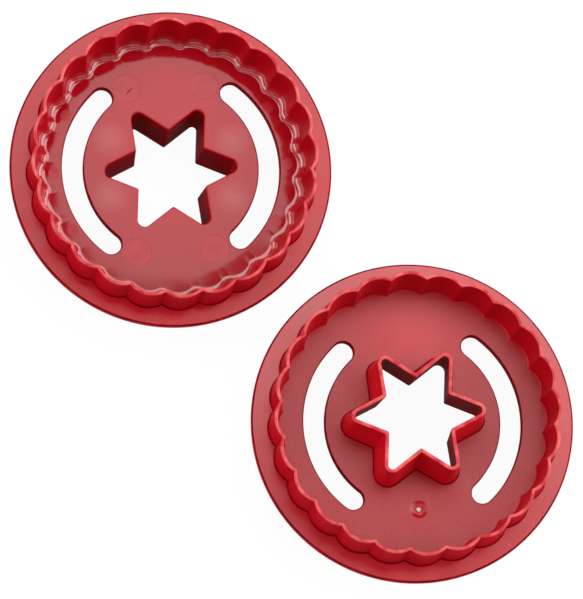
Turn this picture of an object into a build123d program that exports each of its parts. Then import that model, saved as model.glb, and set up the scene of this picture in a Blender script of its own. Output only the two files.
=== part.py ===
from build123d import *
import math
import os

# A pair of double-sided linzer cookie cutters, each a single moulding in red plastic.
# Every cutter is a flat round web that runs out into a gripping flange, with a scalloped
# cutting wall on both faces. One face also carries a six-pointed star wall, whose bore runs
# right through the web. The other face is plain. Sizes are in millimetres.

# Web, and the flange that it forms outside the walls
web_thickness = 2.8
flange_width = 4.85

# Scalloped cutting walls, with the same rim on both faces
wall_height = 13.6
scallop_count = 24
crest_radius = 38.15
scallop_depth = 1.4
rim_thickness = 0.85

# Moulding draft of those walls: how far each surface moves from the rim to the foot
outer_draft = 0.3
plain_side_draft = 1.5
star_side_draft = 1.2

# Leaning band that leads the plain side's wall into the web, as high as it is wide
plain_side_cove = 1.8

# Star wall, drawn at its rim, and the bore through it
star_points = 6
star_sharp_radius = 20.8
star_notch_radius = 10.6
star_tip_round = 2.1
star_rim_thickness = 0.95
star_draft = 0.7

# Two curved finger slots, midway between the star's tips and the plain side's wall
slot_width = 5.65
slot_half_angle = 49.0

# How the pair lies on the table: the gap between the flanges, the direction from the plain-side-up
# cutter to the other one, and the turn of both about their own axes
pair_gap = 7.4
pair_bearing = -47.0
pair_turn = 3.2

flange_radius = crest_radius + flange_width
half_pitch = math.radians(180.0 / scallop_count)
half_arm = math.radians(180.0 / star_points)


def polar(radius, angle):
    """A point of the plan at this radius and angle in radians."""
    return Vector(radius * math.cos(angle), radius * math.sin(angle))


def joined_around(solid, count):
    """Copies of the solid turned about the axis to count places, joined into one solid."""
    copies = [Rot(0, 0, 360.0 / count * index) * solid for index in range(count)]
    return copies[0] + copies[1:]


def slanted(plan, slide, height):
    """The plan raised by height while it slides along +X by slide."""
    return Solid.extrude(plan, Vector(slide, 0, height))


def bulge_radius():
    """Radius of the arc between two neighbouring cusps of the outer rim."""
    cusp = polar(crest_radius - scallop_depth, half_pitch)
    rise = crest_radius - cusp.X
    return (cusp.Y**2 + rise**2) / (2 * rise)


def scalloped_band(low, high):
    """A solid slice with round bulges all around, between two levels of (height, crest reach).

    Each bulge is a disc that slides outward or inward on its way from one level to the other."""
    radius = bulge_radius()
    height = high[0] - low[0]
    disc = Rot(0, 0, 180) * Face(Wire(Edge.make_circle(radius)))
    bulge = slanted(Pos(low[1] - radius, 0, low[0]) * disc, high[1] - low[1], height)
    core_radius = min(low[1], high[1]) - radius
    core = Pos(0, 0, low[0]) * extrude(Circle(core_radius), amount=height)
    return core + joined_around(bulge, scallop_count)


def outer_form():
    """The scalloped wall as a full block standing on z = 0."""
    return scalloped_band((0, crest_radius + outer_draft), (wall_height, crest_radius))


def inner_form(draft, cove):
    """The hollow inside the wall, narrower at the foot, where a cove may lead it into the web."""
    reach = crest_radius - rim_thickness
    cove_top = (cove, reach - draft * (1 - cove / wall_height))
    hollow = scalloped_band(cove_top, (wall_height, reach))
    if cove > 0:
        hollow += scalloped_band((0, reach - draft - cove), cove_top)
    return hollow


def star_flank_normal():
    """Outward direction of the upper side of the star's arm along +X."""
    flank = polar(star_notch_radius, half_arm) - Vector(star_sharp_radius, 0)
    return Vector(flank.Y, -flank.X).normalized()


def star_tip_centre():
    """Where the round tip of the star's arm along +X has its centre, at any growth."""
    return Vector(star_sharp_radius - star_tip_round / star_flank_normal().X, 0)


def star_arm_face(grow):
    """Plan of one arm of the star's rim along +X, with its sides moved outward by grow.

    The sides run on past the notches and the axis, so that turned copies join into the star."""
    normal = star_flank_normal()
    reach = normal.X * star_sharp_radius + grow
    tip_round = star_tip_round + grow
    tip_centre = star_tip_centre()
    upper = tip_centre + normal * tip_round
    root_x = -star_tip_round
    root = Vector(root_x, (reach - normal.X * root_x) / normal.Y)
    lower = Vector(upper.X, -upper.Y)
    low_root = Vector(root.X, -root.Y)
    outline = [
        Edge.make_three_point_arc(lower, tip_centre + Vector(tip_round, 0), upper),
        Edge.make_line(upper, root),
        Edge.make_line(root, low_root),
        Edge.make_line(low_root, lower),
    ]
    return Face(Wire(outline))


def star_form(grow, depth):
    """A solid star that hangs below z = 0, its arms drafted outward towards the bottom."""
    arm = slanted(star_arm_face(grow), star_draft * depth / wall_height, -depth)
    return joined_around(arm, star_points)


def finger_slot():
    """One curved slot with round ends on the +X side, as the solid to be cut from the web."""
    star_foot = star_tip_centre().X + star_tip_round + star_draft
    wall_foot = crest_radius - rim_thickness - plain_side_draft - plain_side_cove
    path = CenterArc((0, 0), (star_foot + wall_foot) / 2, -slot_half_angle, 2 * slot_half_angle)
    return extrude(SlotArc(path, slot_width), amount=web_thickness)


def web():
    """The round web and flange with both finger slots, lying on z = 0."""
    disc = extrude(Circle(flange_radius), amount=web_thickness)
    return disc - joined_around(finger_slot(), 2)


def cutter():
    """One cutter: plain face of the web at z = 0 looking down, star face at web_thickness looking up."""
    block = outer_form()
    up = Pos(0, 0, web_thickness)
    down = Rot(180, 0, 0)
    star_rim = web_thickness + wall_height
    body = web()
    body += up * (block - inner_form(star_side_draft, 0))
    body += down * (block - inner_form(plain_side_draft, plain_side_cove))
    body += Pos(0, 0, star_rim) * star_form(0, wall_height)
    return body - Pos(0, 0, star_rim) * star_form(-star_rim_thickness, star_rim)


def lay_out(moulding):
    """Both cutters where they lie: one with its star side up, its twin turned over."""
    middle = polar(flange_radius + pair_gap / 2, math.radians(pair_bearing))
    star_up = Pos(middle.X, middle.Y, wall_height) * Rot(0, 0, pair_turn)
    plain_up = Pos(-middle.X, -middle.Y, wall_height + web_thickness) * Rot(0, 0, pair_turn)
    return {
        "cutter_star_side_up": star_up * moulding,
        "cutter_plain_side_up": plain_up * Rot(180, 0, 0) * moulding,
    }


os.makedirs("parts", exist_ok=True)
for name, shape in lay_out(cutter()).items():
    export_step(shape, f"parts/{name}.step")
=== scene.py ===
import math

import bmesh
import bpy
import numpy as np
from mathutils import Matrix, Vector
from mathutils.geometry import delaunay_2d_cdt


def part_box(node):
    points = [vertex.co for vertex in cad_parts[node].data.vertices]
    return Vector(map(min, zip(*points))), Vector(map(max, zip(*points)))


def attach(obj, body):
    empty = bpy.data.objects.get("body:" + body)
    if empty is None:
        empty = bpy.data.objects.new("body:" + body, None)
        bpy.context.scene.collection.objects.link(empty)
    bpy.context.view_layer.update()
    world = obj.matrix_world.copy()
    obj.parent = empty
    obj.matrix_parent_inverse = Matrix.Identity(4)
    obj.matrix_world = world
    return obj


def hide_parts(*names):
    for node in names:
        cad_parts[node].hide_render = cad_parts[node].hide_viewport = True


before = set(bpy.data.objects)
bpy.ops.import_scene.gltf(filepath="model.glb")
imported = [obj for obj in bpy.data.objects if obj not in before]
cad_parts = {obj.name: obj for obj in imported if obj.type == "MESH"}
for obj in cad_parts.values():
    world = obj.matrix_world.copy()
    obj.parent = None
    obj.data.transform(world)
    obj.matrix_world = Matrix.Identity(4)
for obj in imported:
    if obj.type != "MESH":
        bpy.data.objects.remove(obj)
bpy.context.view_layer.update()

# Sizes of one cutter in millimetres. It is built with its plain face at z = 0, looking down,
# and its star face at z = WEB, looking up.
MM = 0.001
WEB = 2.8
WALL = 13.6

# Flange: the round of its edges, how far both faces fall towards them and from which radius, and the
# parting line that stands out all around
FLANGE_RADIUS = 42.99
FLANGE_EDGE = 0.45
FLANGE_FALL = 0.22
FLANGE_FALLS_FROM = 37.4
PARTING_LINE = 0.05
PARTING_LINE_REACH = 0.12

# Scalloped walls: the outline of the rim outside and inside, and how its two edges are rounded
SCALLOPS = 24
OUTER_CREST = 38.15
OUTER_BULGE = 7.57
OUTER_VALLEY = 0.22
INNER_CREST = 37.3
INNER_BULGE = 7.2
INNER_RIDGE = 0.4
RIM_EDGE = 0.26
RIM_START = WALL - RIM_EDGE

# The same walls at the foot: the softer outline inside, how fast it softens, and the draft and foot outside
FOOT_BULGE = 5.0
FOOT_RIDGE = 2.4
SOFT_POWER = 1.3
OUTER_LEAN = 0.3
OUTER_FOOT = 0.4

# Draft of the wall inside and the round that leads it into the web, on either side
PLAIN_LEAN = 1.5
PLAIN_COVE = 2.0
STAR_SIDE_LEAN = 1.2
STAR_SIDE_COVE = 0.5

# The plain face sinks towards the wall in each scallop, from a ring around the flat middle. It sinks
# sooner and more evenly towards one side, and less about one place across from the gate
SINK_FROM = 29.42
SINK_SLOPE = math.radians(13.0)
SINK_POWER = 1.5
SINK_POWER_SWING = 0.45
SINK_SCALLOP_POWER = 0.8
SINK_AT_RIDGE = 0.58
SINK_AT_RIDGE_SWING = 0.22
SINK_EVEN_AT = math.radians(15.0)
SINK_LEAST = 0.2
SINK_LEAST_AT = math.radians(120.0)
SINK_LEAST_REACH = math.radians(60.0)

# Star wall: the outline of its rim and of its foot, each with the reach of its sharp tips and
# notches and the round of its tips, and the bore, moved in from the outline of the rim
STAR_POINTS = 6
STAR_RIM = (20.8, 10.6, 2.1)
STAR_FOOT = (23.6, 12.45, 3.6)
STAR_OUT_NOTCH_ROUND = 0.4
STAR_BORE_NOTCH_ROUND = 0.6
STAR_FOOT_ROUND = 0.35
STAR_RIM_EDGE = 0.2
STAR_RIM_START = WEB + WALL - STAR_RIM_EDGE
BORE_RIM = -0.95
BORE_MOUTH = -0.2
BORE_EDGE = 0.4

# Finger slots
SLOT_MIDDLE = 26.27
SLOT_WIDTH = 5.65
SLOT_HALF_ANGLE = math.radians(49.0)
SLOT_EDGE = 0.3

# Marks that the ejector pins leave on the plain face. The brink of a mark is a row of rings, each with
# its distance outside the mark's radius and its share of the mark's depth
BIG_PIN_RADIUS = 3.75
BIG_PIN_AT = 24.6
BIG_PIN_ANGLES = (65.0, 115.0, 245.0, 295.0)
SMALL_PIN_RADIUS = 1.5
SMALL_PIN_AT = 31.3
SMALL_PIN_ANGLES = (-30.0, 0.0, 30.0, 150.0, 180.0, 210.0)
PIN_DEPTH = 0.03
PIN_TILT = 0.9
PIN_BRINK = ((0.06, 0.0), (0.03, 0.2), (-0.01, 0.8), (-0.05, 1.0))

# Scratch in one of those marks
SCRATCHED_PIN = 2
SCRATCH_FROM_MIDDLE = (0.6, 0.65)
SCRATCH_ANGLE = math.radians(-45.0)
SCRATCH_LENGTH = 2.7
SCRATCH_WIDTH = 0.32
SCRATCH_DEPTH = 0.25

# Gate mark on the star face: rings of the dish, as shares of its radius and depth with the look of the
# band inside them, and rings of the stub in its middle, as shares of its radius and height
GATE_AT = 23.4
GATE_ANGLE = math.radians(-90.0)
GATE_RADIUS = 2.4
GATE_DEPTH = 0.6
GATE_DISH = (
    (1.03, 0.0, "star_face"),
    (0.97, 0.1, "pin"),
    (0.8, 0.45, "pin"),
    (0.6, 0.78, "pin"),
    (0.42, 0.96, "pin"),
    # The band round the stub takes the bore's look: a ring of painted shade
    (0.33, 1.0, "bore"),
)
GATE_STUB_RADIUS = 0.62
GATE_STUB_HEIGHT = 0.5
GATE_STUB = ((1.0, 0.15), (0.92, 0.85), (0.6, 1.0))

# How finely the shapes are divided
BULGE_STEPS = 20
CUSP_STEPS = 8
COVE_STEPS = 12
EDGE_STEPS = 5
STAR_TIP_STEPS = 12
STAR_NOTCH_STEPS = 6
STAR_SIDE_STEPS = 5
SLOT_STEPS = 60
SLOT_END_STEPS = 16
PIN_STEPS = 40
SCRATCH_STEPS = 8
SINK_RINGS = 8
SINK_LEAD_IN = (-0.1, -0.05)
WALL_RINGS = (0.02, 0.15, 0.3, 0.45, 0.6, 0.75, 0.9, 0.98)
STAR_WALL_RINGS = (0.02, 0.25, 0.5, 0.75, 0.98)

# How near to a rounded edge a ring keeps the edge's shading off the wall beside it, how far loose points
# stay from slots and pin marks, and how near two points count as one
NEAR_EDGE = 0.1
NEAR_RIM = 0.2
SLOT_CLEARANCE = 0.1
PIN_CLEARANCE = 0.15
SAME_POINT = 1e-5

# How far both cutters are turned about their own axes
PAIR_TURN = math.radians(3.2)

# Four places of the plain face, mirrored about its middle, that are a little more polished, in metres
POLISHED_AT = (0.0163, 0.0078)
POLISHED_REACH = 0.0055

# Where both faces are painted palest, how far that painted light reaches on the star face, and how far from
# there the painted shade on the plain face grows deepest, in metres
LIT_PATCH_AT = (0.0, 0.028)
LIT_PATCH_REACH = 0.022
SHADED_REACH = 0.06

# Round floor and backdrop in metres, and their greys: for the light that they send on to the cutters,
# and for the eye, which sees them glow and sees the cutters' shadow only faintly
FLOOR_LEVEL = -0.00005
FLOOR_RADIUS = 7.0
FLOOR_STEPS = 64
BACKDROP_HEIGHT = 2.1
FLOOR_GREY = 0.8
FLOOR_SHADE_GREY = 0.09
FLOOR_GLOW = 0.945

# Brightness of the room, and how far from the cutters the lamps stand, in metres
ROOM_STRENGTH = 0.12
LAMP_DISTANCE = 1.6

# Lamps: name, degrees off the vertical, bearing in degrees, half height and half width in degrees, radiance
LAMPS = (
    ("overhead", 24.0, 75.0, 16.0, 22.0, 2.15),
    ("behind", 48.0, 90.0, 8.0, 25.0, 0.9),
    ("right_high", 36.0, 0.0, 10.0, 25.0, 1.45),
    ("right", 60.0, 0.0, 13.0, 25.0, 2.9),
    ("right_strip", 77.0, 0.0, 3.0, 25.0, 6.0),
    ("left_high", 36.0, 180.0, 10.0, 25.0, 0.9),
    ("left", 60.0, 180.0, 12.0, 25.0, 3.1),
    ("front_high", 21.0, 262.0, 6.0, 20.0, 1.2),
    ("front", 60.0, 270.0, 12.0, 25.0, 0.5),
)

# Camera: its place, the point that it looks at and how far it sees in metres, its roll and its lens
CAMERA_AT = Vector((-0.1895, -0.3842, 1.8))
CAMERA_LOOKS_AT = Vector((0.0001, -0.0009, 0.015))
CAMERA_SIGHT = 50.0
CAMERA_ROLL = math.radians(0.64)
CAMERA_LENS = 415.4

# Colours as linear red, green and blue
RED = (0.59, 0.0032, 0.014)
DEEP_RED = (0.51, 0.002, 0.0115)
LIGHT_RED = (0.64, 0.0064, 0.019)
WALL_RED = (0.6, 0.0028, 0.013)
# Painted light: the wall red made brighter for the star's wall
STAR_LIT_RED = (0.74, 0.006, 0.02)
PLAIN_RED = (0.54, 0.0028, 0.0122)
PIN_RED = (0.5, 0.0045, 0.0145)
GRAIN_RED = (0.37, 0.0022, 0.01)
SPARK_RED = (0.59, 0.006, 0.018)
# Painted light: the paler red of the star face about one place
LIT_PATCH_RED = (0.67, 0.022, 0.032)
# The next two reds are painted shade: the plastic darkened for the bore, slots, scratch, edges and feet
SHADE_DARK_RED = (0.38, 0.002, 0.0085)
SHADE_DARKEST_RED = (0.2, 0.0016, 0.005)
# Partly wear, partly painted highlight: the pale red of the rims
WORN_AND_LIT_RED = (0.95, 0.125, 0.125)
TORN_RED = (0.92, 0.5, 0.45)
PALE_RED = (0.96, 0.8, 0.74)

# Specular levels that vary over a surface: of walls seen squarely and seen at a grazing angle, and of
# the plain face and its polished places
WALL_GLOSS = 0.4
WALL_GRAZING_GLOSS = 0.015
PLAIN_GLOSS = 0.56
POLISHED_GLOSS = 0.9

HALF_PITCH = math.pi / SCALLOPS
HALF_ARM = math.pi / STAR_POINTS


def turned(point, angle):
    """A point of the plan turned about the axis."""
    c, s = math.cos(angle), math.sin(angle)
    return (point[0] * c - point[1] * s, point[0] * s + point[1] * c)


def arc(centre, radius, start, end, steps):
    """Points of an arc from the start angle to the end angle, both included."""
    angles = [start + (end - start) * i / steps for i in range(steps + 1)]
    return [(centre[0] + radius * math.cos(a), centre[1] + radius * math.sin(a)) for a in angles]


def circle(centre, radius, steps):
    """Points of a full circle."""
    return arc(centre, radius, 0, 2 * math.pi, steps)[:-1]


def between(start, end, steps):
    """Points that divide the line from start to end into steps, without the two ends."""
    return [tuple(start[k] + (end[k] - start[k]) * i / steps for k in (0, 1)) for i in range(1, steps)]


def quarter(backward=False):
    """Angles through a rounded edge, from 0 to a quarter turn or back again."""
    angles = [math.pi / 2 * i / EDGE_STEPS for i in range(EDGE_STEPS + 1)]
    return angles[::-1] if backward else angles


def round_about(points, count):
    """The points repeated about the axis count times."""
    return [turned(p, 2 * math.pi * k / count) for k in range(count) for p in points]


def scalloped(crest, bulge, cusp):
    """Outline of round bulges that reach out to crest, with small rounds where they meet."""
    middle = crest - bulge
    along = middle * math.cos(HALF_PITCH)
    along += math.sqrt((bulge + cusp) ** 2 - (middle * math.sin(HALF_PITCH)) ** 2)
    meet = (along * math.cos(HALF_PITCH), along * math.sin(HALF_PITCH))
    spread = math.atan2(meet[1], meet[0] - middle)
    pitch = arc((middle, 0), bulge, -spread, spread, BULGE_STEPS)
    pitch += arc(meet, cusp, math.pi + spread, math.pi + 2 * HALF_PITCH - spread, CUSP_STEPS)[1:-1]
    return round_about(pitch, SCALLOPS)


def outer_plan(slide=0.0, cut=0.0):
    """The wall's outside, slid outward along the radius or cut back into the wall."""
    return scalloped(OUTER_CREST + slide - cut, OUTER_BULGE - cut, OUTER_VALLEY + cut)


def inner_plan(slide=0.0, cut=0.0, soft=0.0):
    """The wall's inside, slid inward along the radius or cut back into the wall.

    Its ridges are sharp at the rim and grow softer towards the foot, where soft is 1."""
    bulge = INNER_BULGE + (FOOT_BULGE - INNER_BULGE) * soft
    ridge = INNER_RIDGE + (FOOT_RIDGE - INNER_RIDGE) * soft
    return scalloped(INNER_CREST - slide + cut, bulge + cut, ridge - cut)


def circle_beside(plan, radius):
    """A circle with one point on the same ray as each point of the plan."""
    return [(x * radius / math.hypot(x, y), y * radius / math.hypot(x, y)) for x, y in plan]


def star_plan(corners, grow, notch_round):
    """Outline of a star, known by its corners, with its sides moved outward by grow."""
    sharp, inner, tip_round = corners
    tip = (sharp, 0.0)
    notch = (inner * math.cos(HALF_ARM), inner * math.sin(HALF_ARM))
    side = (notch[0] - tip[0], notch[1] - tip[1])
    length = math.hypot(*side)
    normal = (side[1] / length, -side[0] / length)
    reach = normal[0] * sharp + grow
    tip_round += grow
    tip_middle = (reach - tip_round) / normal[0]
    lean = math.atan2(normal[1], normal[0])
    to_notch = normal[0] * math.cos(HALF_ARM) + normal[1] * math.sin(HALF_ARM)
    along = (reach + notch_round) / to_notch
    notch_middle = (along * math.cos(HALF_ARM), along * math.sin(HALF_ARM))
    arm = arc((tip_middle, 0.0), tip_round, -lean, lean, STAR_TIP_STEPS)
    bend = arc(notch_middle, notch_round, math.pi + lean, math.pi + 2 * HALF_ARM - lean, STAR_NOTCH_STEPS)
    next_arm = turned(arm[0], 2 * HALF_ARM)
    outline = arm + between(arm[-1], bend[0], STAR_SIDE_STEPS)
    outline += bend + between(bend[-1], next_arm, STAR_SIDE_STEPS)
    return round_about(outline, STAR_POINTS)


def star_wall_plan(part):
    """Outside of the star's wall, from its foot, where part is 0, to its rim, where part is 1."""
    foot = star_plan(STAR_FOOT, 0.0, STAR_OUT_NOTCH_ROUND)
    return blended(foot, star_plan(STAR_RIM, 0.0, STAR_OUT_NOTCH_ROUND), [part] * len(foot))


def bore_plan(grow):
    """Outline of the bore, which is the rim's star with its sides moved by grow."""
    return star_plan(STAR_RIM, grow, STAR_BORE_NOTCH_ROUND)


def slot_plan(grow, side):
    """Outline of one finger slot, on the +X side or turned over to the other side."""
    half = SLOT_WIDTH / 2 + grow
    a = SLOT_HALF_ANGLE
    end_up = turned((SLOT_MIDDLE, 0), a)
    end_down = turned((SLOT_MIDDLE, 0), -a)
    outline = arc((0, 0), SLOT_MIDDLE + half, -a, a, SLOT_STEPS)
    outline += arc(end_up, half, a, a + math.pi, SLOT_END_STEPS)[1:-1]
    outline += arc((0, 0), SLOT_MIDDLE - half, a, -a, SLOT_STEPS)
    outline += arc(end_down, half, math.pi - a, 2 * math.pi - a, SLOT_END_STEPS)[1:-1]
    return [turned(p, side * math.pi) for p in outline]


def clear_of_slots(point):
    """Whether a plan point lies well outside both finger slots."""
    x, y = abs(point[0]), point[1]
    along = max(-SLOT_HALF_ANGLE, min(SLOT_HALF_ANGLE, math.atan2(y, x)))
    return math.dist((x, y), turned((SLOT_MIDDLE, 0), along)) > SLOT_WIDTH / 2 + SLOT_EDGE + SLOT_CLEARANCE


def inside(points, ring):
    """Which of the plan points lie inside a ring of vertices."""
    x, y = points[:, 0], points[:, 1]
    result = np.zeros(len(points), dtype=bool)
    for i in range(len(ring)):
        x0, y0 = ring[i - 1].co.x / MM, ring[i - 1].co.y / MM
        x1, y1 = ring[i].co.x / MM, ring[i].co.y / MM
        if y0 == y1:
            continue
        crosses = (y0 > y) != (y1 > y)
        result ^= crosses & (x < x0 + (x1 - x0) * (y - y0) / (y1 - y0))
    return result


class Shell:
    """The skin of one cutter, gathered ring by ring."""

    def __init__(self):
        self.bm = bmesh.new()

    def ring(self, plan, z):
        """Vertices at these plan points and at one height or a list of heights."""
        heights = z if isinstance(z, list) else [z] * len(plan)
        return [self.bm.verts.new((p[0] * MM, p[1] * MM, h * MM)) for p, h in zip(plan, heights)]

    def face(self, corners, look, smooth=False):
        """One face between these vertices."""
        face = self.bm.faces.new(corners)
        face.material_index = LOOKS.index(look)
        face.smooth = smooth

    def band(self, low, high, look, flat=False):
        """Quads between two rings of the same length."""
        for i in range(len(low)):
            j = (i + 1) % len(low)
            self.face((low[i], low[j], high[j], high[i]), look, not flat)

    def strip(self, levels):
        """Bands through a list of levels; gives the first ring and the last one.

        A level is a plan, its height or heights, and the look of the band that follows it, and it has
        one more item where that band is flat."""
        first = previous = self.ring(*levels[0][:2])
        for before, level in zip(levels, levels[1:]):
            ring = self.ring(*level[:2])
            self.band(previous, ring, before[2], len(before) > 3)
            previous = ring
        return first, previous

    def plate(self, rings, look, loose=()):
        """A face bounded by the first ring, with the other rings as holes and loose points inside it."""
        verts, edges = [], []
        for ring in rings:
            start, count = len(verts), len(ring)
            edges += [(start + i, start + (i + 1) % count) for i in range(count)]
            verts += ring
        verts += loose
        plan = [Vector((v.co.x / MM, v.co.y / MM)) for v in verts]
        places, _, triangles, sources, _, _ = delaunay_2d_cdt(plan, edges, [], 0, SAME_POINT)
        corners = np.array(triangles)
        middles = np.array([tuple(place) for place in places])[corners].mean(axis=1)
        keep = inside(middles, rings[0])
        for hole in rings[1:]:
            keep &= ~inside(middles, hole)
        for triangle in corners[keep]:
            self.face([verts[sources[i][0]] for i in triangle], look, len(loose) > 0)

    def sharpen(self, ring):
        """Keep the shading apart on the two sides of a ring."""
        for i in range(len(ring)):
            self.bm.edges.get((ring[i], ring[(i + 1) % len(ring)])).smooth = False


def blended(first, second, weights):
    """A list between two lists of numbers or plan points, with its own weight for each item."""
    if isinstance(first[0], tuple):
        pairs = zip(first, second, weights)
        return [(p[0] + (q[0] - p[0]) * w, p[1] + (q[1] - p[1]) * w) for p, q, w in pairs]
    return [p + (q - p) * w for p, q, w in zip(first, second, weights)]


def end_with(levels, *look):
    """Give the band that follows the last of these levels another look."""
    levels[-1] = (*levels[-1][:2], *look)


def moved(z, by, sign):
    """A height or list of heights measured the other way or from another level."""
    return [by + sign * h for h in z] if isinstance(z, list) else by + sign * z


def sink_share(angle):
    """How much of the sink there is at this angle about the axis."""
    apart = math.remainder(angle - SINK_LEAST_AT, 2 * math.pi)
    return 1 - (1 - SINK_LEAST) * math.exp(-((apart / SINK_LEAST_REACH) ** 2))


def scallop_weights():
    """Share of the sink for each outline point, less where two scallops meet than in their middles."""
    across = [math.pi * (i / BULGE_STEPS - 0.5) for i in range(BULGE_STEPS + 1)]
    pitch = [abs(math.cos(a)) ** SINK_SCALLOP_POWER for a in across]
    pitch += [0.0] * (CUSP_STEPS - 1)
    weights = []
    for i, weight in enumerate(pitch * SCALLOPS):
        angle = 2 * math.pi * i / (len(pitch) * SCALLOPS)
        ridge = SINK_AT_RIDGE + SINK_AT_RIDGE_SWING * math.cos(angle - SINK_EVEN_AT)
        weights.append(sink_share(angle) * (ridge + (1 - ridge) * weight))
    return weights


def softness(height, soft):
    """How soft the wall's ridges are at this height, when they are as soft as this at the foot."""
    return soft * (1 - max(height, 0.0) / WALL) ** SOFT_POWER


def inner_levels(lean, cove, foot_look, soft, sink):
    """Levels of a wall's inside, from the web up to the round of its rim.

    With a sink the web falls at that slope where the cove begins, in each scallop."""
    slope = lean / WALL
    tilt = math.atan(slope)
    middle = lean + cove * (math.sqrt(1 + slope * slope) - slope)
    start = INNER_CREST - middle - cove * math.sin(sink)
    lift = -math.tan(sink) * (start - SINK_FROM) / SINK_POWER - cove * (1 - math.cos(sink))
    weights = scallop_weights()
    levels = []

    def add_level(slides, heights, look):
        """One level, from the slide and the height without a sink and with the full sink."""
        plans = [inner_plan(slide, 0.0, softness(height, soft)) for slide, height in zip(slides, heights)]
        level, sunk = ([height] * len(weights) for height in heights)
        levels.append((blended(*plans, weights), blended(level, sunk, weights), look))

    for i in range(COVE_STEPS + 1):
        a = (math.pi / 2 - tilt) * i / COVE_STEPS
        b = -sink + (math.pi / 2 - tilt + sink) * i / COVE_STEPS
        slides = (middle - cove * math.sin(a), middle - slope * lift - cove * math.sin(b))
        add_level(slides, (cove - cove * math.cos(a), lift + cove - cove * math.cos(b)), foot_look)
    end_with(levels, "wall")
    low = cove - cove * math.sin(tilt)
    for part in WALL_RINGS:
        heights = [low + rise + (RIM_START - low - rise) * part for rise in (0.0, lift)]
        add_level([lean - slope * height for height in heights], heights, "wall")
    return levels


def rim_levels(lean, soft):
    """Levels over a wall's rim, from its inside to its outside."""
    levels = []
    slide = lean - lean / WALL * RIM_START
    for a in quarter():
        plan = inner_plan(slide, RIM_EDGE * (1 - math.cos(a)), softness(RIM_START, soft))
        levels.append((plan, RIM_START + RIM_EDGE * math.sin(a), "rim"))
    for a in quarter(backward=True):
        plan = outer_plan(0.0, RIM_EDGE * (1 - math.cos(a)))
        levels.append((plan, RIM_START + RIM_EDGE * math.sin(a), "rim"))
    end_with(levels, "wall")
    return levels


def flange_falls(plan):
    """How far the flange has fallen at each point of the plan, evenly along the radius."""
    width = FLANGE_RADIUS - PARTING_LINE - FLANGE_EDGE - FLANGE_FALLS_FROM
    return [FLANGE_FALL * (math.hypot(*point) - FLANGE_FALLS_FROM) / width for point in plan]


def outer_levels():
    """Levels of a wall's outside, from below its rim down to the flange."""
    levels = []
    for height in (RIM_START - NEAR_RIM, WALL / 2, OUTER_FOOT + NEAR_RIM):
        levels.append((outer_plan(OUTER_LEAN * (1 - height / WALL)), height, "wall"))
    foot_slide = OUTER_LEAN * (1 - OUTER_FOOT / WALL)
    # The foot round takes the bore's look: painted shade where the wall meets the flange
    for a in quarter():
        plan = outer_plan(foot_slide + OUTER_FOOT * (1 - math.cos(a)))
        heights = [OUTER_FOOT * (1 - math.sin(a)) - fall for fall in flange_falls(plan)]
        levels.append((plan, heights, "bore"))
    end_with(levels, "plain_flange", "flat")
    return levels


def wall_levels(lean, cove, foot_look, soft=0.0, sink=0.0):
    """Levels of a wall from the web inside it over its rim to the flange, with heights above the web."""
    return inner_levels(lean, cove, foot_look, soft, sink) + rim_levels(lean, soft) + outer_levels()


def flange_levels(plan):
    """Levels round the flange's edge, from the plain face to the star face."""
    side = FLANGE_RADIUS - PARTING_LINE
    profile = []
    # The rounds of the flange's edge take the bore's look: painted shade along the edge
    for a in quarter():
        z = FLANGE_FALL + FLANGE_EDGE * (1 - math.cos(a))
        profile.append((side - FLANGE_EDGE * (1 - math.sin(a)), z, "bore"))
    profile += [
        (side, FLANGE_FALL + FLANGE_EDGE + NEAR_EDGE, "wall"),
        (side, WEB / 2 - PARTING_LINE_REACH, "wall"),
        (FLANGE_RADIUS, WEB / 2, "wall"),
        (side, WEB / 2 + PARTING_LINE_REACH, "wall"),
        (side, WEB - FLANGE_FALL - FLANGE_EDGE - NEAR_EDGE, "bore"),
    ]
    for a in quarter(backward=True):
        z = WEB - FLANGE_FALL - FLANGE_EDGE * (1 - math.cos(a))
        profile.append((side - FLANGE_EDGE * (1 - math.sin(a)), z, "bore"))
    levels = [(circle_beside(plan, radius), z, look) for radius, z, look in profile]
    end_with(levels, "star_flange", "flat")
    return levels


def build_walls(shell):
    """Both scalloped walls and the flange between them; gives the edges of the two plates inside.

    The star side's levels run the other way, so each takes the look of the one before it."""
    plain_side = wall_levels(PLAIN_LEAN, PLAIN_COVE, "cove", 1.0, SINK_SLOPE)
    levels = [(plan, moved(height, 0.0, -1), *look) for plan, height, *look in plain_side]
    levels += flange_levels(outer_plan())
    star_side = wall_levels(STAR_SIDE_LEAN, STAR_SIDE_COVE, "wall")
    looks = ["wall", *[level[2] for level in star_side[:-1]]]
    for level, look in zip(reversed(star_side), reversed(looks)):
        levels.append((level[0], moved(level[1], WEB, 1), look))
    return shell.strip(levels)


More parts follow.
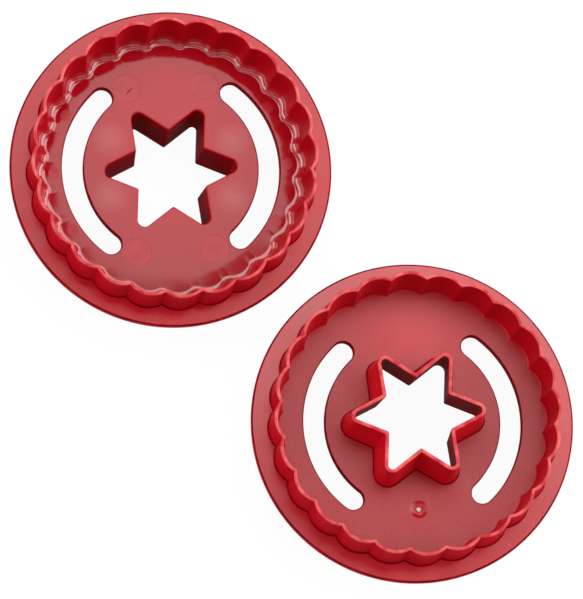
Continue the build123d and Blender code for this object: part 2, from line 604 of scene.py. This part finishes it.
class Sink:
    """How far the plain face sinks towards the wall, known from the edge where the cove begins."""

    def __init__(self, edge):
        self.edge = [(v.co.x / MM, v.co.y / MM, v.co.z / MM) for v in edge]
        order = sorted((math.atan2(y, x), math.hypot(x, y), z) for x, y, z in self.edge)
        self.angles, self.reach, self.depths = (np.array(row) for row in zip(*order))

    def depth(self, point):
        """Depth at a plan point, into the web from the flat middle of the plain face."""
        angle = math.atan2(point[1], point[0])
        reach = np.interp(angle, self.angles, self.reach, period=2 * math.pi)
        depth = np.interp(angle, self.angles, self.depths, period=2 * math.pi)
        part = (math.hypot(*point) - SINK_FROM) / (reach - SINK_FROM)
        power = SINK_POWER - SINK_POWER_SWING * math.cos(angle - SINK_EVEN_AT)
        return float(depth * max(part, 0.0) ** power)

    def tangent(self, centre, plan):
        """Depths at the plan's points on the flat that touches the face at the centre."""
        reach = math.hypot(*centre)
        ahead = (centre[0] / reach, centre[1] / reach)
        depth = self.depth(centre)
        slope = self.depth((centre[0] + ahead[0], centre[1] + ahead[1])) - depth
        return [depth + slope * (ahead[0] * (x - centre[0]) + ahead[1] * (y - centre[1])) for x, y in plan]

    def points(self, shell, pins):
        """Loose vertices that carry the sink, left out where a pin mark or a slot is."""
        loose = []
        for part in (*SINK_LEAD_IN, *[i / SINK_RINGS for i in range(SINK_RINGS)]):
            for x, y, _ in self.edge:
                reach = math.hypot(x, y)
                scale = (SINK_FROM + (reach - SINK_FROM) * part) / reach
                place = (x * scale, y * scale)
                clear = all(math.dist(place, centre) > radius + PIN_CLEARANCE for centre, radius in pins)
                if clear and clear_of_slots(place):
                    loose += shell.ring([place], self.depth(place))
        return loose


def star_levels():
    """Levels of the star's wall, from the star face up to its rim."""
    levels = []
    # The foot round takes the bore's look: painted shade where the star meets the face
    for a in quarter():
        plan = star_plan(STAR_FOOT, STAR_FOOT_ROUND * (1 - math.sin(a)), STAR_OUT_NOTCH_ROUND)
        levels.append((plan, WEB + STAR_FOOT_ROUND * (1 - math.cos(a)), "bore"))
    end_with(levels, "star_wall")
    foot = WEB + STAR_FOOT_ROUND
    for part in STAR_WALL_RINGS:
        levels.append((star_wall_plan(part), foot + (STAR_RIM_START - foot) * part, "star_wall"))
    for a in quarter():
        plan = star_plan(STAR_RIM, -STAR_RIM_EDGE * (1 - math.cos(a)), STAR_OUT_NOTCH_ROUND)
        levels.append((plan, STAR_RIM_START + STAR_RIM_EDGE * math.sin(a), "rim"))
    return levels


def bore_levels():
    """Levels of the bore, from the star's rim down to the plain face."""
    levels = []
    for a in quarter(backward=True):
        plan = bore_plan(BORE_RIM + STAR_RIM_EDGE * (1 - math.cos(a)))
        levels.append((plan, STAR_RIM_START + STAR_RIM_EDGE * math.sin(a), "rim"))
    # The bore's walls are painted dark: painted shade inside the hole
    end_with(levels, "bore")
    for z in (STAR_RIM_START - NEAR_RIM, WEB + WALL / 2, WEB, BORE_EDGE + NEAR_RIM):
        grow = BORE_RIM + (BORE_MOUTH - BORE_RIM) * (STAR_RIM_START - z) / STAR_RIM_START
        levels.append((bore_plan(grow), z, "bore"))
    for a in quarter():
        plan = bore_plan(BORE_MOUTH + BORE_EDGE * (1 - math.cos(a)))
        levels.append((plan, BORE_EDGE * (1 - math.sin(a)), "wall"))
    return levels


def build_star(shell):
    """The star's wall and bore; gives the edges in the star face and in the plain face."""
    return shell.strip(star_levels() + bore_levels())


def build_slot(shell, side):
    """The wall of one finger slot; gives its edges in the plain face and in the star face."""
    profile = [(SLOT_EDGE * (1 - math.sin(a)), SLOT_EDGE * (1 - math.cos(a))) for a in quarter()]
    profile += [(0.0, SLOT_EDGE + NEAR_EDGE), (0.0, WEB - SLOT_EDGE - NEAR_EDGE)]
    for a in quarter(backward=True):
        profile.append((SLOT_EDGE * (1 - math.sin(a)), WEB - SLOT_EDGE * (1 - math.cos(a))))
    # The slot walls and their rounded edges take the bore's look: painted shade
    return shell.strip([(slot_plan(grow, side), z, "bore") for grow, z in profile])


def pin_marks():
    """Centre and radius of every pin mark, in millimetres."""
    marks = [(turned((BIG_PIN_AT, 0), math.radians(a)), BIG_PIN_RADIUS) for a in BIG_PIN_ANGLES]
    marks += [(turned((SMALL_PIN_AT, 0), math.radians(a)), SMALL_PIN_RADIUS) for a in SMALL_PIN_ANGLES]
    return marks


def build_pin_mark(shell, sink, centre, radius, scratched):
    """A flat round mark, a touch below the plain face; gives its edge.

    Where the face sinks, the mark leans the same way, though less."""
    levels = []
    for step, depth in PIN_BRINK:
        plan = circle(centre, radius + step, PIN_STEPS)
        floor = [PIN_DEPTH + PIN_TILT * height for height in sink.tangent(centre, plan)]
        face = [sink.depth(point) for point in plan]
        levels.append((plan, blended(face, floor, [depth] * len(plan)), "pin"))
    edge, floor = shell.strip(levels)
    shell.sharpen(edge)
    shell.sharpen(floor)
    if scratched:
        middle = [centre[k] + SCRATCH_FROM_MIDDLE[k] for k in (0, 1)]
        shell.plate([floor, build_scratch(shell, middle)], "pin")
    else:
        shell.face(floor, "pin")
    return edge


def build_scratch(shell, centre):
    """A short cut in the floor of a pin mark, as wide as a thread in its middle; gives its edge."""
    direction = turned((1, 0), SCRATCH_ANGLE)
    across = (-direction[1], direction[0])
    edges = {1: [], -1: []}
    keel = []
    for i in range(1, SCRATCH_STEPS):
        part = 2 * i / SCRATCH_STEPS - 1
        middle = [centre[k] + direction[k] * part * SCRATCH_LENGTH / 2 for k in (0, 1)]
        half = SCRATCH_WIDTH / 2 * (1 - part * part)
        for side in (1, -1):
            place = (middle[0] + across[0] * half * side, middle[1] + across[1] * half * side)
            edges[side] += shell.ring([place], PIN_DEPTH)
        keel += shell.ring([middle], PIN_DEPTH + SCRATCH_DEPTH * (1 - part * part))
    ends = []
    for sign in (-1, 1):
        end = [centre[k] + direction[k] * sign * SCRATCH_LENGTH / 2 for k in (0, 1)]
        ends += shell.ring([end], PIN_DEPTH)
    # The sides of the scratch take the bore's look: painted shade in the groove
    for side in (1, -1):
        outer = [ends[0], *edges[side], ends[1]]
        inner = [ends[0], *keel, ends[1]]
        for i in range(len(outer) - 1):
            corners = [outer[i], outer[i + 1], inner[i + 1], inner[i]]
            shell.face(list(dict.fromkeys(corners)), "bore")
    return [ends[0], *edges[1], ends[1], *reversed(edges[-1])]


def build_gate(shell):
    """The dished gate mark in the star face with its broken stub; gives its edge."""
    centre = turned((GATE_AT, 0), GATE_ANGLE)
    foot = WEB - GATE_DEPTH
    levels = []
    for reach, depth, look in GATE_DISH:
        levels.append((circle(centre, GATE_RADIUS * reach, PIN_STEPS), WEB - GATE_DEPTH * depth, look))
    for reach, height in GATE_STUB:
        plan = circle(centre, GATE_STUB_RADIUS * reach, PIN_STEPS)
        levels.append((plan, foot + GATE_STUB_HEIGHT * height, "gate"))
    edge, top = shell.strip(levels)
    shell.face(top, "gate")
    return edge


def cutter_mesh(name, scratched):
    """One cutter as a closed mesh, with or without the scratch in one of its pin marks."""
    shell = Shell()
    plain_edge, star_side_edge = build_walls(shell)
    star_foot, bore_mouth = build_star(shell)
    slots = [build_slot(shell, side) for side in (0, 1)]
    sink = Sink(plain_edge)
    pins = []
    for i, (centre, radius) in enumerate(pin_marks()):
        pins.append(build_pin_mark(shell, sink, centre, radius, scratched and i == SCRATCHED_PIN))
    gate = build_gate(shell)
    holes = [bore_mouth, *[slot[0] for slot in slots]]
    for ring in holes:
        shell.sharpen(ring)
    shell.plate([plain_edge, *holes, *pins], "plain_face", sink.points(shell, pin_marks()))
    shell.plate([star_side_edge, star_foot, *[slot[1] for slot in slots], gate], "star_face")
    bmesh.ops.recalc_face_normals(shell.bm, faces=shell.bm.faces)
    mesh = bpy.data.meshes.new(name)
    shell.bm.to_mesh(mesh)
    shell.bm.free()
    return mesh


# Short names of the shader's sockets that a look sets to one value
SOCKETS = {"gloss": "Specular IOR Level", "coat": "Coat Weight", "coat_roughness": "Coat Roughness"}


class Nodes:
    """Short ways to add and join shader nodes in one material."""

    def __init__(self, name):
        self.material = bpy.data.materials.new(name)
        self.material.use_nodes = True
        self.tree = self.material.node_tree
        self.shader = self.tree.nodes["Principled BSDF"]
        self.where = self.add("ShaderNodeTexCoord").outputs["Object"]

    def add(self, kind, **values):
        """A new node with these settings."""
        node = self.tree.nodes.new(kind)
        for key, value in values.items():
            setattr(node, key, value)
        return node

    def join(self, source, target):
        """A link from one socket to another."""
        self.tree.links.new(source, target)

    def noise(self, scale, detail=2.0, stretch=None):
        """Noise over the cutter, with scale in features per metre."""
        node = self.add("ShaderNodeTexNoise")
        node.inputs["Scale"].default_value = scale
        node.inputs["Detail"].default_value = detail
        source = self.where
        if stretch is not None:
            mapping = self.add("ShaderNodeMapping")
            mapping.inputs["Scale"].default_value = stretch
            self.join(self.where, mapping.inputs["Vector"])
            source = mapping.outputs["Vector"]
        self.join(source, node.inputs["Vector"])
        return node.outputs["Fac"]

    def distance_from(self, place, mirrored=False):
        """How far a point is, in metres, from this place, or from the nearest of its four mirror images."""
        where = self.where
        if mirrored:
            node = self.add("ShaderNodeVectorMath", operation="ABSOLUTE")
            self.join(where, node.inputs[0])
            where = node.outputs["Vector"]
        apart = self.add("ShaderNodeVectorMath", operation="SUBTRACT")
        self.join(where, apart.inputs[0])
        apart.inputs[1].default_value = (*place, 0.0)
        length = self.add("ShaderNodeVectorMath", operation="LENGTH")
        self.join(apart.outputs["Vector"], length.inputs[0])
        return length.outputs["Value"]

    def spread(self, value, low, high, from_low=0.35, from_high=0.65):
        """The value carried over to the range from low to high."""
        node = self.add("ShaderNodeMapRange")
        node.inputs["From Min"].default_value = from_low
        node.inputs["From Max"].default_value = from_high
        node.inputs["To Min"].default_value = low
        node.inputs["To Max"].default_value = high
        self.join(value, node.inputs["Value"])
        return node.outputs["Result"]

    def blend(self, factor, first, second):
        """A colour between two, by factor."""
        node = self.add("ShaderNodeMix", data_type="RGBA")
        colours = [socket for socket in node.inputs if socket.type == "RGBA"]
        for socket, colour in zip(colours, (first, second)):
            if isinstance(colour, tuple):
                socket.default_value = (*colour, 1.0)
            else:
                self.join(colour, socket)
        self.join(factor, node.inputs["Factor"])
        return next(socket for socket in node.outputs if socket.type == "RGBA")

    def bump(self, height, strength, distance, onto=None):
        """The surface pushed in and out by height over this distance in metres."""
        node = self.add("ShaderNodeBump")
        node.inputs["Strength"].default_value = strength
        node.inputs["Distance"].default_value = distance
        self.join(height, node.inputs["Height"])
        if onto is not None:
            self.join(onto, node.inputs["Normal"])
        return node.outputs["Normal"]

    def set_all_over(self, **values):
        """Values of the shader that are the same all over the surface, by their short names."""
        for name, value in values.items():
            self.shader.inputs[SOCKETS[name]].default_value = value

    def vary_gloss(self, usual, gloss):
        """A specular level that varies over the surface, and the usual one where that can't be kept."""
        self.set_all_over(gloss=usual)
        self.join(gloss, self.shader.inputs[SOCKETS["gloss"]])

    def finish(self, colour, roughness, normal):
        """The material, with what drives its colour, roughness and bumps."""
        self.join(colour, self.shader.inputs["Base Color"])
        self.join(roughness, self.shader.inputs["Roughness"])
        self.join(normal, self.shader.inputs["Normal"])
        return self.material


def drafted_look(name, light, deep):
    """Drafted wall with a slow drift in colour. Its drag marks take the shine from grazing views."""
    n = Nodes(name)
    tone = n.noise(scale=90.0)
    drag = n.noise(scale=2500.0, stretch=(1.0, 1.0, 0.05))
    normal = n.bump(drag, strength=0.05, distance=0.00001)
    facing = n.add("ShaderNodeLayerWeight").outputs["Facing"]
    gloss = n.spread(facing, WALL_GLOSS, WALL_GRAZING_GLOSS, from_low=0.3, from_high=0.62)
    n.vary_gloss(WALL_GLOSS, gloss)
    colour = n.blend(n.spread(tone, 0.0, 1.0, from_low=0.2, from_high=0.8), light, deep)
    roughness = n.spread(tone, 0.2, 0.28, from_low=0.2, from_high=0.8)
    return n.finish(colour, roughness, normal)


def wall_look():
    """Scalloped walls and the flange's side: clean deep red."""
    return drafted_look("cutter_wall", WALL_RED, DEEP_RED)


def star_wall_look():
    """The star's wall, painted a shade brighter than the other walls: painted light on the same plastic."""
    # Painted light: the same plastic as the walls, painted brighter
    return drafted_look("cutter_star_wall_lit", STAR_LIT_RED, LIGHT_RED)


def cove_look():
    """The round at the foot of the plain side's wall, polished so that it catches the light in thin lines."""
    n = Nodes("cutter_cove_gloss")
    tone = n.noise(scale=150.0)
    normal = n.bump(n.noise(scale=900.0), strength=0.05, distance=0.00002)
    n.set_all_over(gloss=1.0, coat=1.0, coat_roughness=0.05)
    colour = n.blend(n.spread(tone, 0.0, 1.0), DEEP_RED, RED)
    return n.finish(colour, n.spread(tone, 0.06, 0.1), normal)


def dark_shade_look():
    """The bore, the slots, the scratch, the flange's rounded edges and the feet of the star and outer walls.

    All of them are dull, and painted dark: painted shade on the same plastic as the rest."""
    n = Nodes("cutter_dull_painted_shade")
    tone = n.noise(scale=200.0)
    normal = n.bump(n.noise(scale=2500.0), strength=0.3, distance=0.00004)
    n.set_all_over(gloss=0.004)
    # Painted shade: these places are coloured darker than the plastic itself
    colour = n.blend(n.spread(tone, 0.0, 1.0), SHADE_DARKEST_RED, SHADE_DARK_RED)
    return n.finish(colour, n.spread(tone, 0.5, 0.6), normal)


def star_face_look():
    """Finely spark-eroded face, matt and speckled, with painted light that makes it paler about one place."""
    n = Nodes("cutter_star_face_grain")
    grain = n.noise(scale=2900.0)
    cloud = n.noise(scale=120.0, detail=3.0)
    colour = n.blend(n.spread(grain, 0.0, 1.0), GRAIN_RED, SPARK_RED)
    # Painted light: the face is painted paler about one place, as if more lit there
    painted_pale = n.spread(n.distance_from(LIT_PATCH_AT), 1.0, 0.0, from_low=0.0, from_high=LIT_PATCH_REACH)
    colour = n.blend(painted_pale, colour, LIT_PATCH_RED)
    normal = n.bump(grain, strength=0.6, distance=0.00006)
    n.set_all_over(gloss=0.85)
    return n.finish(colour, n.spread(cloud, 0.36, 0.42), normal)


def plain_face_look():
    """Smoother face with a satin gloss that comes and goes, most at four places beside the slots, and painted
    shade that darkens it away from one place.
    """
    n = Nodes("cutter_plain_face_satin")
    cloud = n.noise(scale=60.0)
    grain = n.noise(scale=1300.0)
    colour = n.blend(n.spread(cloud, 0.0, 1.0), PLAIN_RED, RED)
    colour = n.blend(n.spread(grain, 0.0, 0.5), colour, GRAIN_RED)
    # Painted shade: the face is painted darker the further it is from one place
    painted_dark = n.spread(n.distance_from(LIT_PATCH_AT), 0.0, 0.5, from_low=0.0, from_high=SHADED_REACH)
    colour = n.blend(painted_dark, colour, GRAIN_RED)
    wave = n.bump(cloud, strength=1.0, distance=0.0002)
    normal = n.bump(grain, strength=0.35, distance=0.00002, onto=wave)
    away = n.distance_from(POLISHED_AT, mirrored=True)
    gloss = n.spread(away, POLISHED_GLOSS, PLAIN_GLOSS, from_low=0.0, from_high=POLISHED_REACH)
    n.vary_gloss(PLAIN_GLOSS, gloss)
    return n.finish(colour, n.spread(cloud, 0.12, 0.17), normal)


def pin_look():
    """Ends of the ejector pins, and the dish of the gate: smooth, with a gloss of their own."""
    n = Nodes("cutter_pin_mark")
    cloud = n.noise(scale=300.0)
    normal = n.bump(n.noise(scale=1800.0), strength=0.2, distance=0.00002)
    n.set_all_over(gloss=0.64)
    colour = n.blend(n.spread(cloud, 0.0, 1.0), PLAIN_RED, PIN_RED)
    return n.finish(colour, n.spread(cloud, 0.2, 0.28), normal)


def rim_look():
    """Cutting edges, painted pale: partly wear in patches, partly a painted highlight and glow along the
    edge.
    """
    n = Nodes("cutter_rim_worn_and_lit")
    wear = n.noise(scale=350.0, detail=3.0)
    # Painted highlight as well as wear: the rim is painted paler than the walls
    colour = n.blend(n.spread(wear, 0.0, 1.0), WORN_AND_LIT_RED, LIGHT_RED)
    normal = n.bump(n.noise(scale=1500.0), strength=0.3, distance=0.00003)
    return n.finish(colour, n.spread(wear, 0.35, 0.5), normal)


def flange_look(name, gloss):
    """Satin flange with a light even grain."""
    n = Nodes(name)
    grain = n.noise(scale=2200.0)
    cloud = n.noise(scale=80.0)
    colour = n.blend(n.spread(cloud, 0.0, 1.0), RED, LIGHT_RED)
    normal = n.bump(grain, strength=0.25, distance=0.00003)
    n.set_all_over(gloss=gloss)
    return n.finish(colour, n.spread(cloud, 0.2, 0.28), normal)


def plain_flange_look():
    """Flange on the plain side."""
    return flange_look("cutter_plain_flange_satin", gloss=0.68)


def star_flange_look():
    """Flange on the star side, which has the higher gloss."""
    return flange_look("cutter_star_flange_gloss", gloss=1.0)


def gate_look():
    """Where the stub of the gate broke off: torn and paler than the rest."""
    n = Nodes("cutter_gate_torn")
    tear = n.noise(scale=1800.0)
    normal = n.bump(tear, strength=0.4, distance=0.00004)
    colour = n.blend(n.spread(tear, 0.0, 1.0), TORN_RED, PALE_RED)
    return n.finish(colour, n.spread(tear, 0.2, 0.4), normal)


# What makes each look of a cutter, in the order of the cutter's material slots
LOOK_MAKERS = {
    "wall": wall_look,
    "star_wall": star_wall_look,
    "cove": cove_look,
    # The look named bore is painted shade, on the bore and on the other places its maker lists
    "bore": dark_shade_look,
    "star_face": star_face_look,
    "plain_face": plain_face_look,
    "pin": pin_look,
    "rim": rim_look,
    "plain_flange": plain_flange_look,
    "star_flange": star_flange_look,
    "gate": gate_look,
}
LOOKS = tuple(LOOK_MAKERS)


def place_cutters():
    """Both cutters, each riding on its body in place of its CAD node. Only one has the scratch."""
    materials = [make() for make in LOOK_MAKERS.values()]
    turn = Matrix.Rotation(PAIR_TURN, 4, "Z")
    over = Matrix.Rotation(math.pi, 4, "X")
    for name, node, body, height, pose, scratched in (
        ("cutter_star_up", "cutter_star_side_up", "star_cutter", WALL, turn, False),
        ("cutter_plain_up", "cutter_plain_side_up", "plain_cutter", WALL + WEB, turn @ over, True),
    ):
        mesh = cutter_mesh(name, scratched)
        mesh.transform(pose)
        for material in materials:
            mesh.materials.append(material)
        low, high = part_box(node)
        middle = (low + high) / 2
        piece = bpy.data.objects.new(name, mesh)
        bpy.context.scene.collection.objects.link(piece)
        piece.matrix_world = Matrix.Translation((middle.x, middle.y, height * MM))
        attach(piece, body)
        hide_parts(node)


def seen_directly(tree):
    """1 for rays from the camera and for those that a shiny or clear surface sends on."""
    path = tree.nodes.new("ShaderNodeLightPath")
    total = path.outputs["Is Camera Ray"]
    for name in ("Is Glossy Ray", "Is Transmission Ray"):
        larger = tree.nodes.new("ShaderNodeMath")
        larger.operation = "MAXIMUM"
        tree.links.new(total, larger.inputs[0])
        tree.links.new(path.outputs[name], larger.inputs[1])
        total = larger.outputs[0]
    return total


def matt(tree, grey):
    """A matt grey surface in this node tree."""
    node = tree.nodes.new("ShaderNodeBsdfDiffuse")
    node.inputs["Color"].default_value = (grey, grey, grey, 1)
    return node.outputs[0]


def floor_material():
    """White that glows a little for the eye, so that it stays white and keeps the cutters' shadow."""
    material = bpy.data.materials.new("floor_white")
    material.use_nodes = True
    tree = material.node_tree
    tree.nodes.clear()
    glow = tree.nodes.new("ShaderNodeEmission")
    glow.inputs["Strength"].default_value = FLOOR_GLOW
    both = tree.nodes.new("ShaderNodeAddShader")
    tree.links.new(matt(tree, FLOOR_SHADE_GREY), both.inputs[0])
    tree.links.new(glow.outputs[0], both.inputs[1])
    mix = tree.nodes.new("ShaderNodeMixShader")
    tree.links.new(seen_directly(tree), mix.inputs[0])
    tree.links.new(matt(tree, FLOOR_GREY), mix.inputs[1])
    tree.links.new(both.outputs[0], mix.inputs[2])
    out = tree.nodes.new("ShaderNodeOutputMaterial")
    tree.links.new(mix.outputs[0], out.inputs["Surface"])
    return material


def make_floor():
    """A plain white floor with a round backdrop at its edge."""
    mesh = bpy.data.meshes.new("floor")
    edge = circle((0, 0), FLOOR_RADIUS, FLOOR_STEPS)
    places = [(*point, height) for height in (FLOOR_LEVEL, BACKDROP_HEIGHT) for point in edge]
    after = [(i + 1) % FLOOR_STEPS for i in range(FLOOR_STEPS)]
    backdrop = [(i, after[i], after[i] + FLOOR_STEPS, i + FLOOR_STEPS) for i in range(FLOOR_STEPS)]
    mesh.from_pydata(places, [], [tuple(range(FLOOR_STEPS)), *backdrop])
    mesh.materials.append(floor_material())
    floor = bpy.data.objects.new("floor", mesh)
    bpy.context.scene.collection.objects.link(floor)


def make_world():
    """The dim room around the lamps."""
    world = bpy.data.worlds.new("room")
    bpy.context.scene.world = world
    world.use_nodes = True
    room = world.node_tree.nodes["Background"]
    room.inputs["Color"].default_value = (1, 1, 1, 1)
    room.inputs["Strength"].default_value = ROOM_STRENGTH


def softbox(name, lean, bearing, height, width, radiance):
    """A lamp that faces the cutters: degrees off the vertical and about it, half sizes in degrees."""
    a, b = math.radians(lean), math.radians(bearing)
    at = Vector((math.sin(a) * math.cos(b), math.sin(a) * math.sin(b), math.cos(a))) * LAMP_DISTANCE
    light = bpy.data.lights.new(name, "AREA")
    light.shape = "RECTANGLE"
    light.size = 2 * LAMP_DISTANCE * math.tan(math.radians(width))
    light.size_y = 2 * LAMP_DISTANCE * math.tan(math.radians(height))
    light.energy = radiance * math.pi * light.size * light.size_y
    lamp = bpy.data.objects.new(name, light)
    lamp.location = at
    lamp.rotation_mode = "QUATERNION"
    lamp.rotation_quaternion = (-at).to_track_quat("-Z", "Y")
    lamp.visible_camera = False
    bpy.context.scene.collection.objects.link(lamp)


def make_lights():
    """A large softbox above and behind, panels on either side and weaker ones in front."""
    for lamp in LAMPS:
        softbox(*lamp)


def make_camera():
    """The camera, looking down on the pair from the front left."""
    data = bpy.data.cameras.new("camera")
    data.lens = CAMERA_LENS
    data.clip_end = CAMERA_SIGHT
    camera = bpy.data.objects.new("camera", data)
    ahead = (CAMERA_LOOKS_AT - CAMERA_AT).normalized()
    right = ahead.cross(Vector((math.sin(CAMERA_ROLL), math.cos(CAMERA_ROLL), 0))).normalized()
    up = right.cross(ahead)
    turn = Matrix((right, up, -ahead)).transposed()
    camera.matrix_world = Matrix.Translation(CAMERA_AT) @ turn.to_4x4()
    bpy.context.scene.collection.objects.link(camera)
    bpy.context.scene.camera = camera


place_cutters()
make_floor()
make_world()
make_lights()
make_camera()
bpy.context.scene.view_settings.view_transform = "Standard"
